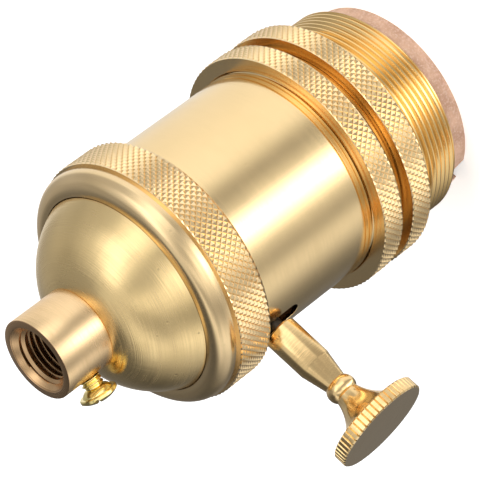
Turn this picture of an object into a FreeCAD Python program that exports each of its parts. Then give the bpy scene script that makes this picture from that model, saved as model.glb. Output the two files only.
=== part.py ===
import FreeCAD, Part
import math
import os

import Sketcher

# Brass E27 lamp holder with a turn-knob switch, modelled hanging as in use: neck up, lamp opening down.
# The origin is the middle of the neck's mouth, +Z points out of the neck and +X along the switch knob.
# Depths are measured downwards from the mouth. All sizes are in millimetres and degrees.

SIZES = {
    "neck_diameter": 14.1,
    "neck_length": 9.3,
    "neck_bore": 8.9,
    "mouth_bevel": 0.3,
    "spigot_diameter": 12.0,
    "peened_diameter": 13.8,
    "peened_thickness": 0.6,
    "dome_wall": 0.9,
    "dome_curve": 15.62,
    "dome_setback": 1.55,
    "dome_height": 9.7,
    "dome_skirt": 1.7,
    "flange_setback": 0.2,
    "cap_liner_gap": 0.2,
    "cap_liner_wall": 0.4,
    "cap_liner_hole": 16.4,
    "nut_wall": 2.5,
    "nut_shoulder_step": 0.65,
    "nut_shoulder_height": 3.35,
    "nut_shoulder_curve": 2.7,
    "nut_step": 0.3,
    "nut_band": 6.4,
    "nut_bevel": 0.5,
    "nut_lip": 0.15,
    "nut_top": 0.3,
    "nut_clearance": 0.05,
    "barrel_wall": 1.4,
    "barrel_length": 53.5,
    "rim_bevel": 0.3,
    "slot_width": 3.6,
    "slot_below_axis": 5.5,
    "line_depth": 0.15,
    "line_width": 0.35,
    "line_pitch": 1.0,
    "liner_gap": 0.1,
    "liner_wall": 0.7,
    "liner_overhang": 3.4,
    "liner_slot_width": 4.4,
    "liner_overlap_width": 7.0,
    "liner_overlap_azimuth": 134.0,
    "liner_notch_width": 4.8,
    "liner_notch_depth": 3.1,
    "liner_notch_slant": 1.0,
    "ring_wall": 2.5,
    "ring_thickness": 4.3,
    "ring_gap": 2.5,
    "ring_clearance": 0.2,
    "ring_bevel": 0.25,
    "ring_height": 21.1,
    "screw_azimuth": -34.0,
    "screw_depth": 6.3,
    "screw_diameter": 3.5,
    "screw_tip_gap": 1.05,
    "screw_unscrewed": 2.5,
    "screw_head_diameter": 6.6,
    "screw_head_rim": 1.0,
    "screw_head_crown": 1.4,
    "screw_slot_width": 0.9,
    "screw_slot_depth": 1.1,
    "screw_clearance": 0.1,
    "axis_drop": 9.95,
    "block_flange": 1.8,
    "core_diameter": 31.4,
    "core_gap": 1.1,
    "chamber_length": 16.0,
    "chamber_width": 12.6,
    "chamber_above_axis": 6.75,
    "chamber_below_axis": 7.65,
    "lamp_insulator_height": 7.0,
    "spindle_diameter": 3.0,
    "spindle_length": 33.0,
    "spindle_start": -3.0,
    "running_clearance": 0.1,
    "bush_diameter": 5.0,
    "bush_flange_diameter": 6.8,
    "bush_flange": 0.8,
    "bush_stand": 0.5,
    "drum_diameter": 9.8,
    "drum_start": -5.7,
    "drum_length": 6.1,
    "cam_side": 6.2,
    "cam_length": 4.0,
    "hub_diameter": 5.2,
    "hub_length": 2.5,
    "stub_diameter": 3.2,
    "stub_length": 5.7,
    "bridge_thickness": 0.5,
    "bridge_width": 3.4,
    "bridge_reach": 4.65,
    "bridge_lug": 3.8,
    "leaf_thickness": 0.4,
    "leaf_width": 3.4,
    "leaf_gap": 0.35,
    "leaf_place": -3.7,
    "leaf_below_axis": 2.6,
    "detent_place": 2.4,
    "detent_gap": 0.35,
    "terminal_length": 6.5,
    "terminal_width": 6.0,
    "terminal_thickness": 0.8,
    "terminal_lug": 2.0,
    "terminal_inset": 5.4,
    "terminal_screw_diameter": 2.5,
    "terminal_screw_length": 4.5,
    "terminal_head_diameter": 4.2,
    "terminal_head_height": 1.6,
    "strap_inset": 2.7,
    "channel_clearance": 0.2,
    "core_screw_diameter": 3.0,
    "core_screw_head_diameter": 5.6,
    "core_screw_head_height": 1.6,
    "core_screw_bite": 5.0,
    "core_screw_inset": 3.1,
    "driver_slot_width": 0.8,
    "driver_slot_depth": 0.7,
    "shell_crest_diameter": 24.5,
    "shell_root_diameter": 26.6,
    "shell_pitch": 3.629,
    "shell_turns": 6.0,
    "shell_sheet": 0.35,
    "shell_wall": 0.45,
    "shell_base_hole": 13.0,
    "shell_lead": 0.85,
    "shell_flare": 0.7,
    "shell_rivet_reach": 9.3,
    "rivet_diameter": 2.2,
    "rivet_head_diameter": 3.6,
    "rivet_head_height": 0.8,
    "rivet_well": 1.1,
    "contact_width": 5.0,
    "contact_drop": 2.8,
    "knob_gap": 1.2,
    "knob_base_diameter": 5.85,
    "knob_sleeve": 8.1,
    "knob_sleeve_end_diameter": 5.7,
    "knob_cone": 4.1,
    "knob_cone_end_diameter": 4.0,
    "knob_bead_diameter": 5.1,
    "knob_bead": 2.6,
    "knob_waist_diameter": 4.2,
    "knob_flare": 5.25,
    "knob_flare_curve": 8.0,
    "knob_flare_diameter": 12.2,
    "knob_disc_diameter": 16.7,
    "knob_disc": 2.35,
    "knob_bevel": 0.3,
    "knurl_teeth": 54.0,
    "knurl_depth": 0.35,
}

doc = FreeCAD.newDocument("LampHolder")
sheet = doc.addObject("Spreadsheet::Sheet", "Sizes")
for row, (alias, number) in enumerate(SIZES.items(), start=1):
    sheet.set("A%d" % row, alias.replace("_", " "))
    sheet.set("B%d" % row, str(number))
    sheet.setAlias("B%d" % row, alias)
doc.recompute()


class Size:
    """A length that knows its number and the sheet expression that it comes from."""

    def __init__(self, number, text):
        self.number = number
        self.text = text

    def __add__(self, other):
        return joined(self, other, "+", lambda a, b: a + b)

    def __radd__(self, other):
        return joined(other, self, "+", lambda a, b: a + b)

    def __sub__(self, other):
        return joined(self, other, "-", lambda a, b: a - b)

    def __rsub__(self, other):
        return joined(other, self, "-", lambda a, b: a - b)

    def __mul__(self, other):
        return joined(self, other, "*", lambda a, b: a * b)

    def __rmul__(self, other):
        return joined(other, self, "*", lambda a, b: a * b)

    def __truediv__(self, other):
        return joined(self, other, "/", lambda a, b: a / b)

    def __neg__(self):
        return 0 - self


def as_size(value):
    return value if isinstance(value, Size) else Size(float(value), "%g" % value)


def joined(left, right, sign, rule):
    left, right = as_size(left), as_size(right)
    return Size(rule(left.number, right.number), "(%s %s %s)" % (left.text, sign, right.text))


def root(value):
    return Size(math.sqrt(value.number), "sqrt(%s)" % value.text)


def size(alias):
    return Size(float(sheet.get(alias)), "Sizes." + alias)


def vector(x, y, z=0.0):
    return FreeCAD.Vector(x, y, z)


# Bodies, sketches and features, every length bound to the sheet ------------------------------------

BODIES = []


def new_body(label, depth=None, azimuth=None):
    """An empty body, let down by depth and turned about the vertical axis by azimuth."""
    body = doc.addObject("PartDesign::Body", label)
    body.Label = label
    if azimuth is not None:
        body.Placement.Rotation = FreeCAD.Rotation(vector(0, 0, 1), azimuth.number)
        body.setExpression("Placement.Rotation.Angle", azimuth.text)
    if depth is not None:
        body.setExpression("Placement.Base.z", (-depth).text)
    BODIES.append(body)
    return body


def new_sketch(body, plane, middle=None, turned=None):
    """A sketch on one of the body's own planes, moved along the plane's normal and turned about it."""
    sketch = body.newObject("Sketcher::SketchObject", body.Name + "_sketch")
    support = [item for item in body.Origin.OriginFeatures if item.Role == plane][0]
    sketch.AttachmentSupport = [(support, "")]
    sketch.MapMode = "FlatFace"
    if turned is not None:
        rotation = FreeCAD.Rotation(vector(0, 0, 1), turned.number)
        sketch.AttachmentOffset = FreeCAD.Placement(vector(0, 0), rotation)
        sketch.setExpression("AttachmentOffset.Rotation.Angle", turned.text)
    if middle is not None:
        sketch.setExpression("AttachmentOffset.Base.z", as_size(middle).text)
    return sketch


def bind(sketch, kind, edge, place, value):
    arguments = [kind, edge] + ([place] if place else []) + [value.number]
    number = sketch.addConstraint(Sketcher.Constraint(*arguments))
    sketch.setExpression("Constraints[%d]" % number, value.text)


def arc_centre(start, end, radius, side):
    """The centre of the short arc from start to end, on that side of the way from start to end."""
    run, rise = end[0] - start[0], end[1] - start[1]
    chord = root(run * run + rise * rise)
    height = root(radius * radius - chord * chord / 4)
    turn = 1 if side == "left" else -1
    return ((start[0] + end[0]) / 2 - turn * height * rise / chord,
            (start[1] + end[1]) / 2 + turn * height * run / chord)


def arc_between(start, end, centre, radius, side):
    first, last = (start, end) if side == "left" else (end, start)
    angles = [math.atan2(point.y - centre.y, point.x - centre.x) for point in (first, last)]
    if angles[1] < angles[0]:
        angles[1] += 2 * math.pi
    return Part.ArcOfCircle(Part.Circle(centre, vector(0, 0, 1), radius), *angles)


def draw_outline(sketch, corners):
    """A closed outline. A corner (x, y) ends a straight edge, (x, y, radius, side) ends an arc."""
    corners = [tuple(map(as_size, corner[:3])) + tuple(corner[3:]) for corner in corners]
    places = [vector(corner[0].number, corner[1].number) for corner in corners]
    first_edge = sketch.GeometryCount
    ends = []
    for index, corner in enumerate(corners):
        start, end = places[index - 1], places[index]
        if len(corner) > 2:
            centre = arc_centre(corners[index - 1], corner, corner[2], corner[3])
            sketch.addGeometry(arc_between(start, end, vector(centre[0].number, centre[1].number),
                                           corner[2].number, corner[3]), False)
            steep = abs(end.y - start.y) > abs(end.x - start.x)
            bind(sketch, "DistanceX" if steep else "DistanceY", first_edge + index, 3,
                 centre[0] if steep else centre[1])
            ends.append((1, 2) if corner[3] == "left" else (2, 1))
        else:
            sketch.addGeometry(Part.LineSegment(start, end), False)
            ends.append((1, 2))
    for index, corner in enumerate(corners):
        edge = first_edge + index
        following = (index + 1) % len(corners)
        meeting = Sketcher.Constraint("Coincident", edge, ends[index][1],
                                      first_edge + following, ends[following][0])
        sketch.addConstraint(meeting)
        bind(sketch, "DistanceX", edge, ends[index][1], corner[0])
        bind(sketch, "DistanceY", edge, ends[index][1], corner[1])


def draw_circle(sketch, x, y, radius):
    x, y, radius = as_size(x), as_size(y), as_size(radius)
    edge = sketch.GeometryCount
    sketch.addGeometry(Part.Circle(vector(x.number, y.number), vector(0, 0, 1), radius.number), False)
    bind(sketch, "Radius", edge, 0, radius)
    bind(sketch, "DistanceX", edge, 3, x)
    bind(sketch, "DistanceY", edge, 3, y)


def rectangle(left, right, bottom, top):
    return [(left, bottom), (right, bottom), (right, top), (left, top)]


def finish(body, feature):
    """Recompute a feature. A feature that should cut has to leave less than there was."""
    before = body.Shape.Volume if body.Shape.Solids else 0.0
    body.Tip = feature
    doc.recompute()
    cuts = feature.TypeId in ("PartDesign::Pocket", "PartDesign::Groove")
    if cuts and body.Shape.Volume > before - 1e-6:
        raise ValueError("%s cuts nothing from %s" % (feature.Name, body.Label))
    return feature


def revolve(body, corners, axis="V_Axis", kind="Revolution"):
    """Turn an outline of (distance, height) corners about the vertical or the horizontal axis."""
    sketch = new_sketch(body, "XZ_Plane")
    draw_outline(sketch, corners)
    feature = body.newObject("PartDesign::" + kind, body.Name + "_turned")
    feature.Profile = sketch
    feature.ReferenceAxis = (sketch, [axis])
    feature.Angle = 360
    return finish(body, feature)


def extrude(body, kind, sketch, thickness):
    """Pad or pocket a sketch to both sides of its plane alike."""
    feature = body.newObject("PartDesign::" + kind, body.Name + "_" + kind.lower())
    feature.Profile = sketch
    feature.SideType = "Symmetric"
    feature.setExpression("Length", as_size(thickness).text)
    return finish(body, feature)


def slab(body, kind, plane, corners, low, high):
    """Pad or pocket an outline between two places along the plane's normal."""
    low, high = as_size(low), as_size(high)
    sketch = new_sketch(body, plane, (low + high) / 2)
    draw_outline(sketch, corners)
    return extrude(body, kind, sketch, high - low)


def rod(body, kind, plane, x, y, diameter, low, high):
    """Pad or pocket a round rod between two places along the plane's normal."""
    low, high = as_size(low), as_size(high)
    sketch = new_sketch(body, plane, (low + high) / 2)
    draw_circle(sketch, x, y, diameter / 2)
    return extrude(body, kind, sketch, high - low)


# Places that several pieces share --------------------------------------------------------------------

neck_radius = size("neck_diameter") / 2
core_radius = size("core_diameter") / 2
liner_inside = core_radius + size("core_gap")
liner_outside = liner_inside + size("liner_wall")
barrel_inside = liner_outside + size("liner_gap")
barrel_radius = barrel_inside + size("barrel_wall")
dome_radius = barrel_radius - size("dome_setback")
dome_top = size("neck_length")
dome_shoulder = dome_top + size("dome_height")
flange_top = dome_shoulder + size("dome_skirt")
block_top = flange_top + size("dome_wall")
barrel_top = block_top + size("block_flange")
barrel_end = barrel_top + size("barrel_length")
axis_depth = barrel_top + size("axis_drop")
chamber_top = axis_depth - size("chamber_above_axis")
block_end = axis_depth + size("chamber_below_axis")
insulator_end = block_end + size("lamp_insulator_height")
chamber_end = size("chamber_length") / 2
chamber_side = size("chamber_width") / 2
flange_radius = barrel_radius - size("flange_setback")
terminal_reach = core_radius - size("terminal_inset")
strap_reach = terminal_reach - size("strap_inset")
core_screw_place = core_radius - size("core_screw_inset")
core_screw_along = core_screw_place * 0.73
core_screw_across = core_screw_place * 0.683
knob_start = barrel_radius + size("knob_gap")
spindle_end = size("spindle_start") + size("spindle_length")
ring_upper_top = barrel_end - size("ring_height")
ring_lower_top = ring_upper_top + size("ring_thickness") + size("ring_gap")
drum_end = size("drum_start") + size("drum_length")
cam_end = drum_end + size("cam_length")
hub_end = cam_end + size("hub_length")
leaf_inside = size("drum_diameter") / 2 + size("leaf_gap")
leaf_outside = leaf_inside + size("leaf_thickness")
leaf_left = size("leaf_place") - size("leaf_width") / 2
leaf_right = size("leaf_place") + size("leaf_width") / 2
foot_top = block_top - size("leaf_thickness")
terminal_top = foot_top - size("terminal_thickness")
clearance = size("running_clearance")


# Outer pieces ----------------------------------------------------------------------------------------

def make_neck_bush():
    """Turned tube with a spigot through the dome, peened over inside it, and a side hole for the screw."""
    body = new_body("neck_bush", azimuth=size("screw_azimuth"))
    bore = size("neck_bore") / 2
    bevel = size("mouth_bevel")
    spigot = size("spigot_diameter") / 2
    peened = size("peened_diameter") / 2
    dome_inside = dome_top + size("dome_wall")
    bush_end = dome_inside + size("peened_thickness")
    revolve(body, [
        (bore + bevel, 0), (neck_radius - bevel / 2, 0), (neck_radius, -bevel / 2),
        (neck_radius, -dome_top), (spigot, -dome_top), (spigot, -dome_inside),
        (peened, -dome_inside), (peened, -bush_end), (bore, -bush_end), (bore, -bevel),
    ])
    hole = size("screw_diameter") + 2 * size("screw_clearance")
    rod(body, "Pocket", "YZ_Plane", 0, -size("screw_depth"), hole, bore / 2, neck_radius + 1)


def make_cap_dome():
    """Spun dome: flat seat for the neck, one round sweep, a short skirt and an outward flange."""
    body = new_body("cap_dome")
    wall = size("dome_wall")
    curve = size("dome_curve")
    spigot = size("spigot_diameter") / 2
    inside = dome_radius - wall
    revolve(body, [
        (spigot, -dome_top), (neck_radius, -dome_top),
        (dome_radius, -dome_shoulder, curve, "right"),
        (dome_radius, -flange_top), (flange_radius, -flange_top), (flange_radius, -block_top),
        (inside, -block_top), (inside, -dome_shoulder),
        (neck_radius, -dome_top - wall, curve - wall, "left"), (spigot, -dome_top - wall),
    ])


def make_cap_liner():
    """Fibre cup that follows the inside of the dome and stands on the switch block."""
    body = new_body("cap_liner")
    gap = size("dome_wall") + size("cap_liner_gap")
    wall = size("cap_liner_wall")
    outside = dome_radius - gap
    inside = outside - wall
    hole = size("cap_liner_hole") / 2
    curve = size("dome_curve") - gap
    crown = dome_top + gap + (hole - neck_radius) * (hole - neck_radius) / curve / 2 + wall
    revolve(body, [
        (hole, -crown), (outside, -dome_shoulder, curve, "right"), (outside, -block_top),
        (inside, -block_top), (inside, -dome_shoulder), (hole, -crown - wall, curve - wall, "left"),
    ])


def make_ring_nut():
    """Nut with a thin lip round the dome, a round shoulder, a step, a gripping band and a bevelled end."""
    body = new_body("ring_nut")
    lip = dome_radius + size("nut_lip")
    bore = barrel_radius + size("nut_clearance")
    outside = bore + size("nut_wall")
    shoulder = outside - size("nut_shoulder_step")
    shoulder_end = dome_shoulder + size("nut_shoulder_height")
    band_top = shoulder_end + size("nut_step")
    band_end = band_top + size("nut_band")
    bevel = size("nut_bevel")
    revolve(body, [
        (lip, -dome_shoulder), (lip + size("nut_top"), -dome_shoulder),
        (shoulder, -shoulder_end, size("nut_shoulder_curve"), "right"), (shoulder, -band_top),
        (outside - size("nut_step"), -band_top), (outside, -band_top - size("nut_step")),
        (outside, -band_end), (outside - bevel, -band_end - bevel),
        (bore, -band_end - bevel), (bore, -flange_top), (lip, -flange_top),
    ])


def make_barrel():
    """Drawn tube with two turned lines above its threaded end and a slot that opens at its upper end."""
    body = new_body("barrel")
    bevel = size("rim_bevel")
    revolve(body, [
        (barrel_inside, -barrel_top), (barrel_radius - bevel, -barrel_top),
        (barrel_radius, -barrel_top - bevel), (barrel_radius, bevel - barrel_end),
        (barrel_radius - bevel, -barrel_end), (barrel_inside, -barrel_end),
    ])
    floor = barrel_radius - size("line_depth")
    for count in (1, 2):
        line_top = ring_upper_top - count * size("line_pitch")
        line_end = line_top + size("line_width")
        revolve(body, [
            (barrel_radius + 1, -line_top), (floor, -line_top),
            (floor, -line_end), (barrel_radius + 1, -line_end),
        ], kind="Groove")
    half_slot = size("slot_width") / 2
    slot_bottom = axis_depth + size("slot_below_axis") - half_slot
    slot = rectangle(-half_slot, half_slot, -slot_bottom, 1 - barrel_top)
    slab(body, "Pocket", "YZ_Plane", slot, barrel_inside / 2, barrel_radius + 1)
    rod(body, "Pocket", "YZ_Plane", 0, -slot_bottom, size("slot_width"), barrel_inside / 2,
        barrel_radius + 1)


def make_insulating_liner():
    """Fibre tube rolled with an overlap, slotted for the spindle and notched at its lower end."""
    body = new_body("insulating_liner")
    liner_end = barrel_end + size("liner_overhang")
    revolve(body, rectangle(liner_inside, liner_outside, -liner_end, -barrel_top))
    half = size("liner_overlap_width") / 2
    under = liner_inside - size("liner_wall")
    merged = liner_inside + size("liner_wall") / 2
    near = root(under * under - half * half)
    far = root(merged * merged - half * half)
    sketch = new_sketch(body, "XY_Plane", -(barrel_top + liner_end) / 2, size("liner_overlap_azimuth"))
    draw_outline(sketch, [(near, -half, under, "right"), (far, -half), (far, half, merged, "left"),
                          (near, half)])
    extrude(body, "Pad", sketch, liner_end - barrel_top)
    half_slot = size("liner_slot_width") / 2
    slot_bottom = axis_depth + half_slot
    slot = rectangle(-half_slot, half_slot, -slot_bottom, 1 - barrel_top)
    slab(body, "Pocket", "YZ_Plane", slot, liner_inside / 2, barrel_radius)
    notch = size("liner_notch_width") / 2
    notch_top = notch - size("liner_notch_slant")
    rise = size("liner_notch_depth")
    slab(body, "Pocket", "YZ_Plane", [
        (-notch, -liner_end - 1), (notch, -liner_end - 1), (notch, -liner_end),
        (notch_top, rise - liner_end), (-notch_top, rise - liner_end), (-notch, -liner_end),
    ], liner_inside / 2, barrel_radius)


def make_shade_ring(label, top):
    """Flat ring nut that clamps a shade; its bore runs free of the thread's crests."""
    body = new_body(label, depth=top)
    bore = barrel_radius + size("ring_clearance")
    outside = bore + size("ring_wall")
    bevel = size("ring_bevel")
    thickness = size("ring_thickness")
    revolve(body, [
        (bore, 0), (outside - bevel, 0), (outside, -bevel), (outside, bevel - thickness),
        (outside - bevel, -thickness), (bore, -thickness),
    ])


def make_set_screw():
    """Pan-head screw that clamps the tube in the neck, with a slot crossed by a second one."""
    body = new_body("set_screw", depth=size("screw_depth"), azimuth=size("screw_azimuth"))
    shank = size("screw_diameter") / 2
    tip = size("neck_bore") / 2 + size("screw_tip_gap")
    seat = neck_radius + size("screw_unscrewed")
    head = size("screw_head_diameter") / 2
    rim = seat + size("screw_head_rim")
    crown = rim + size("screw_head_crown")
    flat = head / 3
    rounding = size("screw_head_crown") * 2
    revolve(body, [
        (tip, 0), (tip, shank * 0.7), (tip + shank * 0.3, shank), (seat, shank), (seat, head),
        (rim, head), (crown, flat, rounding, "right"), (crown, 0),
    ], axis="H_Axis")
    half = size("screw_slot_width") / 2
    for plane in ("XY_Plane", "XZ_Plane"):
        slot = rectangle(crown - size("screw_slot_depth"), crown + 1, -half, half)
        slab(body, "Pocket", plane, slot, -head - 1, head + 1)


# Switch knob and what turns with it ------------------------------------------------------------------

def make_switch_knob():
    """Turned knob: sleeve, cone, bead, flared neck and a disc with straight gripping grooves."""
    body = new_body("switch_knob", depth=axis_depth)
    start = knob_start
    sleeve_end = start + size("knob_sleeve")
    cone_end = sleeve_end + size("knob_cone")
    bead_end = cone_end + size("knob_bead")
    disc_back = bead_end + size("knob_flare")
    face = disc_back + size("knob_disc")
    bevel = size("knob_bevel")
    base = size("knob_base_diameter") / 2
    sleeve = size("knob_sleeve_end_diameter") / 2
    cone = size("knob_cone_end_diameter") / 2
    bead = size("knob_bead_diameter") / 2
    waist = size("knob_waist_diameter") / 2
    flare = size("knob_flare_diameter") / 2
    disc = size("knob_disc_diameter") / 2
    bore = size("spindle_diameter") / 2 + clearance / 2
    bead_middle = cone_end + size("knob_bead") / 2
    bead_curve = size("knob_bead") * 0.72
    revolve(body, [
        (start, bore), (start, base - bevel), (start + bevel, base), (sleeve_end, sleeve),
        (cone_end, cone), (bead_middle, bead, bead_curve, "right"), (bead_end, waist, bead_curve, "right"),
        (disc_back, flare, size("knob_flare_curve"), "left"), (disc_back, disc - bevel),
        (disc_back + bevel, disc), (face - bevel, disc), (face, disc - bevel), (face, 0), (spindle_end, 0),
        (spindle_end, bore),
    ], axis="H_Axis")
    depth = size("knurl_depth")
    half = depth * 1.2
    sketch = new_sketch(body, "YZ_Plane", (disc_back + face) / 2)
    draw_outline(sketch, [(0, disc - depth), (half, disc + 0.02), (half, disc + 1),
                          (-half, disc + 1), (-half, disc + 0.02)])
    groove = extrude(body, "Pocket", sketch, size("knob_disc") + 1)
    pattern = body.newObject("PartDesign::PolarPattern", body.Name + "_knurl")
    pattern.Originals = [groove]
    pattern.Axis = (sketch, ["N_Axis"])
    pattern.Angle = 360
    pattern.setExpression("Occurrences", size("knurl_teeth").text)
    finish(body, pattern)


def make_switch_spindle():
    """Steel rod from the rotor out through the bush and the slot into the knob."""
    body = new_body("switch_spindle", depth=axis_depth)
    start = size("spindle_start")
    rod(body, "Pad", "YZ_Plane", 0, 0, size("spindle_diameter"), start, start + size("spindle_length"))


def make_switch_rotor():
    """Moulded drum with a square cam, a hub and a stub that runs in the far wall of the chamber."""
    body = new_body("switch_rotor", depth=axis_depth)
    drum = size("drum_diameter") / 2
    stub = size("stub_diameter") / 2
    start = size("drum_start")
    bore = size("spindle_diameter") / 2
    bore_start = size("spindle_start")
    hub = size("hub_diameter") / 2
    revolve(body, [
        (start - size("stub_length"), 0), (start - size("stub_length"), stub), (start, stub),
        (start, drum), (drum_end, drum), (drum_end, hub), (hub_end, hub), (hub_end, bore),
        (bore_start, bore), (bore_start, 0),
    ], axis="H_Axis")
    side = size("cam_side") / 2
    cam = new_sketch(body, "YZ_Plane", (drum_end + cam_end) / 2)
    draw_outline(cam, rectangle(-side, side, -side, side))
    draw_circle(cam, 0, 0, bore)
    extrude(body, "Pad", cam, size("cam_length"))
    half = size("bridge_width") / 2 + clearance / 2
    floor = size("bridge_reach") - size("bridge_thickness") - clearance / 2
    for near, far in ((floor, drum + 1), (-drum - 1, -floor)):
        slab(body, "Pocket", "YZ_Plane", rectangle(-half, half, near, far),
             start - 1, start + size("bridge_lug") + clearance / 2)


def make_rotor_contact():
    """Brass bridge: a plate across the drum's end with two lugs let into its sides."""
    body = new_body("rotor_contact", depth=axis_depth)
    half = size("bridge_width") / 2
    reach = size("bridge_reach")
    thickness = size("bridge_thickness")
    face = size("drum_start")
    plate = new_sketch(body, "YZ_Plane", face - thickness / 2)
    draw_outline(plate, rectangle(-half, half, -reach, reach))
    draw_circle(plate, 0, 0, size("stub_diameter") / 2 + clearance / 2)
    extrude(body, "Pad", plate, thickness)
    for near, far in ((reach - thickness, reach), (-reach, thickness - reach)):
        slab(body, "Pad", "YZ_Plane", rectangle(-half, half, near, far), face - thickness,
             face + size("bridge_lug"))


# Core: two ceramic pieces with the contacts, terminals and the lamp's screw shell ------------------------

def make_switch_block():
    """Upper ceramic piece: clamped flange, chamber open below, bearing holes, wire and strap ways."""
    body = new_body("switch_block")
    revolve(body, [(0, -block_top), (flange_radius, -block_top), (flange_radius, -barrel_top),
                   (core_radius, -barrel_top), (core_radius, -block_end), (0, -block_end)])
    slab(body, "Pocket", "XY_Plane", rectangle(-chamber_end, chamber_end, -chamber_side, chamber_side),
         -block_end - 1, -chamber_top)
    rod(body, "Pocket", "YZ_Plane", 0, -axis_depth, size("bush_diameter"), chamber_end - 1,
        core_radius + 1)
    stub_end = size("drum_start") - size("stub_length") - clearance * 3
    rod(body, "Pocket", "YZ_Plane", 0, -axis_depth, size("stub_diameter") + 2 * clearance, stub_end,
        1 - chamber_end)
    margin = size("channel_clearance")
    slab(body, "Pocket", "XY_Plane",
         rectangle(leaf_left - margin, leaf_right + margin, leaf_inside - margin, leaf_outside + margin),
         -chamber_top - 1, 1 - block_top)
    cut_strap_way(body, -block_end - 1, 1 - block_top)
    for side in (1, -1):
        rod(body, "Pocket", "XY_Plane", side * size("leaf_place"), side * terminal_reach,
            size("terminal_screw_diameter") + 2 * clearance,
            -block_top - size("terminal_screw_length") - clearance, 1 - block_top)
        rod(body, "Pocket", "XY_Plane", side * core_screw_along, side * core_screw_across,
            size("core_screw_diameter") + 2 * clearance, -block_end - 1, 1 - block_top)


def cut_strap_way(body, low, high):
    """Upright way for the neutral strap, beside the chamber."""
    margin = size("channel_clearance")
    near = strap_reach - margin
    far = strap_reach + size("leaf_thickness") + margin
    slab(body, "Pocket", "XY_Plane",
         rectangle(-leaf_right - margin, -leaf_left + margin, -far, -near), low, high)


def make_lamp_insulator():
    """Lower ceramic disc: floor of the chamber, carrier of the screw shell and the centre contact."""
    body = new_body("lamp_insulator")
    revolve(body, rectangle(0, core_radius, -insulator_end, -block_end))
    hole = size("rivet_diameter") + 2 * clearance
    below, above = -insulator_end - 1, 1 - block_end
    rod(body, "Pocket", "XY_Plane", size("leaf_place"), 0, hole, below, above)
    well = size("rivet_head_diameter") + 2 * clearance
    for side in (1, -1):
        reach = side * size("shell_rivet_reach")
        rod(body, "Pocket", "XY_Plane", reach, 0, hole, below, above)
        rod(body, "Pocket", "XY_Plane", reach, 0, well, -block_end - size("rivet_well"), above)
        rod(body, "Pocket", "XY_Plane", side * core_screw_along, side * core_screw_across,
            size("core_screw_diameter") + 2 * clearance,
            -block_end - size("core_screw_bite") - clearance, above)
    cut_strap_way(body, below, above)


def make_screw_shell():
    """Edison shell: sheet with a rolled round thread, an inward base and a flared mouth."""
    body = new_body("screw_shell")
    crest = size("shell_crest_diameter") / 2
    swing = (size("shell_root_diameter") / 2 - crest) / 2
    middle = crest + swing
    wall = size("shell_wall")
    quarter = size("shell_pitch") / 4
    curve = (quarter * quarter + swing * swing) / swing / 2
    thread_top = insulator_end + size("shell_sheet") + size("shell_lead")
    waves = 2 * int(round(size("shell_turns").number))
    thread_end = thread_top + waves * 2 * quarter
    mouth = thread_end + size("shell_lead") / 2
    flare = size("shell_flare")
    hole = size("shell_base_hole") / 2
    outline = [(hole, -insulator_end - size("shell_sheet")), (middle, -insulator_end - size("shell_sheet")),
               (middle, -thread_top)]
    for wave in range(1, waves + 1):
        side = "right" if wave % 2 else "left"
        outline.append((middle, -(thread_top + wave * 2 * quarter), curve, side))
    outline += [(middle, -mouth), (middle + flare, -mouth - flare), (middle + flare + wall, -mouth - flare),
                (middle + wall, -mouth), (middle + wall, -thread_end)]
    for wave in range(waves - 1, -1, -1):
        side = "left" if wave % 2 == 0 else "right"
        outline.append((middle + wall, -(thread_top + wave * 2 * quarter), curve, side))
    outline += [(middle + wall, -insulator_end), (hole, -insulator_end)]
    revolve(body, outline)
    for side in (1, -1):
        rod(body, "Pocket", "XY_Plane", side * size("shell_rivet_reach"), 0,
            size("rivet_diameter") + clearance, -insulator_end - 1, 1 - insulator_end)


def make_rivets(label, places, top, bottom):
    """Rivets with a flat head at either end, between two depths."""
    body = new_body(label)
    head = size("rivet_head_height")
    for x in places:
        rod(body, "Pad", "XY_Plane", x, 0, size("rivet_diameter"), -bottom - head / 2, head / 2 - top)
        rod(body, "Pad", "XY_Plane", x, 0, size("rivet_head_diameter"), -top, head - top)
        rod(body, "Pad", "XY_Plane", x, 0, size("rivet_head_diameter"), -bottom - head, -bottom)


def make_centre_contact():
    """Spring strip under the rivet, bent down to meet the tip of the lamp."""
    body = new_body("centre_contact")
    sheet_thickness = size("leaf_thickness")
    head = size("rivet_head_diameter") / 2
    start = size("leaf_place") - head
    bend = size("leaf_place") + head + sheet_thickness
    low_start = -start / 2
    drop = size("contact_drop")
    half = size("contact_width") / 2
    top = -insulator_end
    slab(body, "Pad", "XZ_Plane", [
        (start, top), (bend, top), (low_start, top - drop), (-start - 1, top - drop),
        (-start - 1, top - drop - sheet_thickness), (low_start - sheet_thickness, top - drop - sheet_thickness),
        (bend - sheet_thickness, top - sheet_thickness), (start, top - sheet_thickness),
    ], -half, half)
    hole = size("rivet_diameter") + clearance
    rod(body, "Pocket", "XY_Plane", size("leaf_place"), 0, hole, top - 1, top + 1)


def make_lamp_lead_spring():
    """Leaf from the centre contact's rivet up the far side of the rotor."""
    body = new_body("lamp_lead_spring")
    thickness = size("leaf_thickness")
    foot = size("rivet_head_diameter") / 2
    top = size("leaf_below_axis") - axis_depth
    slab(body, "Pad", "YZ_Plane", [
        (-leaf_outside, -block_end), (foot, -block_end), (foot, thickness - block_end),
        (-leaf_inside, thickness - block_end), (-leaf_inside, top), (-leaf_outside, top),
    ], leaf_left, leaf_right)
    hole = size("rivet_diameter") + clearance
    rod(body, "Pocket", "XY_Plane", size("leaf_place"), 0, hole, -block_end - 1, 1 - block_end)


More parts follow.
